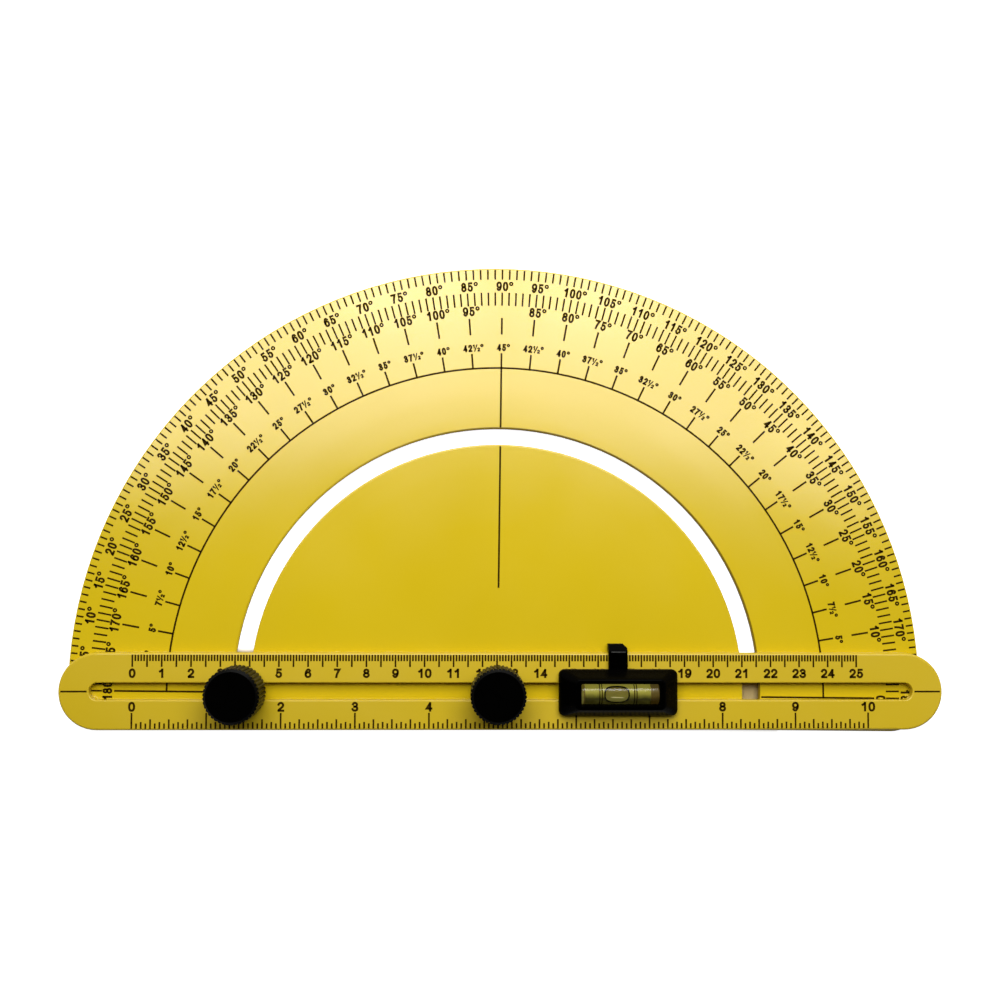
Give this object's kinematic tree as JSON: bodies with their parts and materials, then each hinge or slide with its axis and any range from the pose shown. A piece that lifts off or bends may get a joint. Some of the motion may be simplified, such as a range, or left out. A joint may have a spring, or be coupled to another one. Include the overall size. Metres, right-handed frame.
{
  "type": "adjustable protractor",
  "caption": "Half-round degree plate with an arc slot, a slotted rule arm held by clamp knobs that swings and slides on it, and a clip-on spirit level.",
  "frame": {"origin": "on the pivot axis, in the plane of the plate's back, which is what the tool lies on", "axes": "+X along the plate's base line towards its 180 degree mark, +Y along its 90 degree line, +Z out of the printed face, towards the knobs"},
  "size_m": [0.3054, 0.1627, 0.0228],
  "materials": {
    "plate_yellow": "moulded yellow styrene with a soft gloss",
    "arm_yellow": "moulded yellow styrene, satin",
    "knob_black": "moulded black plastic, satin, ribbed sides",
    "level_black": "moulded black plastic, semi-gloss",
    "plated_steel": "bright zinc plate",
    "insert_brass": "turned",
    "vial_clear": "clear acrylic, polished",
    "vial_plug_amber": "amber resin",
    "vial_liquid_yellow": "dyed yellow-green spirit",
    "vial_air": "air bubble",
    "marking_black": "black print"
  },
  "bodies": {
    "protractor": {"protractor_plate": "plate_yellow", "pivot_bolt": "plated_steel"},
    "lock_carriage": {"lock_bolt": "plated_steel"},
    "rule": {"rule_arm": "arm_yellow"},
    "level": {"level_housing": "level_black", "level_clip": "level_black", "vial_tube": "vial_clear", "vial_plug": "vial_plug_amber", "vial_liquid": "vial_liquid_yellow", "vial_rings_left": "marking_black", "vial_rings_right": "marking_black"},
    "bubble": {"vial_bubble": "vial_air"},
    "pivot_washer": {"pivot_washer": "plated_steel"},
    "pivot_knob": {"pivot_knob": "knob_black", "pivot_insert": "insert_brass"},
    "lock_washer": {"lock_washer": "plated_steel"},
    "lock_knob": {"lock_knob": "knob_black", "lock_insert": "insert_brass"}
  },
  "joints": [
    {"name": "arm_swing", "type": "hinge", "parent": "protractor", "child": "lock_carriage", "pos_m": [0, 0, 0], "axis": [0, 0, -1], "range_deg": [0, 181]},
    {"name": "arm_slide", "type": "slide", "parent": "lock_carriage", "child": "rule", "axis": [1, 0.0096, 0], "range_m": [-0.006, 0.048]},
    {"name": "level_slide", "type": "slide", "parent": "rule", "child": "level", "axis": [1, 0.0096, 0], "range_m": [-0.005, 0.085]},
    {"name": "bubble_slide", "type": "slide", "parent": "level", "child": "bubble", "axis": [1, 0.0096, 0], "range_m": [-0.006, 0.006]},
    {"name": "pivot_knob_lift", "type": "slide", "parent": "protractor", "child": "pivot_washer", "axis": [0, 0, 1], "range_m": [0, 0.0008]},
    {"name": "pivot_knob_turn", "type": "hinge", "parent": "pivot_washer", "child": "pivot_knob", "pos_m": [0, 0, 0], "axis": [0, 0, 1], "range_deg": [0, 360]},
    {"name": "lock_knob_lift", "type": "slide", "parent": "lock_carriage", "child": "lock_washer", "axis": [0, 0, 1], "range_m": [0, 0.0008]},
    {"name": "lock_knob_turn", "type": "hinge", "parent": "lock_washer", "child": "lock_knob", "pos_m": [-0.0885, -0.00085, 0], "axis": [0, 0, 1], "range_deg": [0, 360]}
  ],
  "couplings": [
    {"joint": "pivot_knob_lift", "follows": "pivot_knob_turn", "m_per_rad": 0.00012637},
    {"joint": "lock_knob_lift", "follows": "lock_knob_turn", "m_per_rad": 0.00012637}
  ]
}
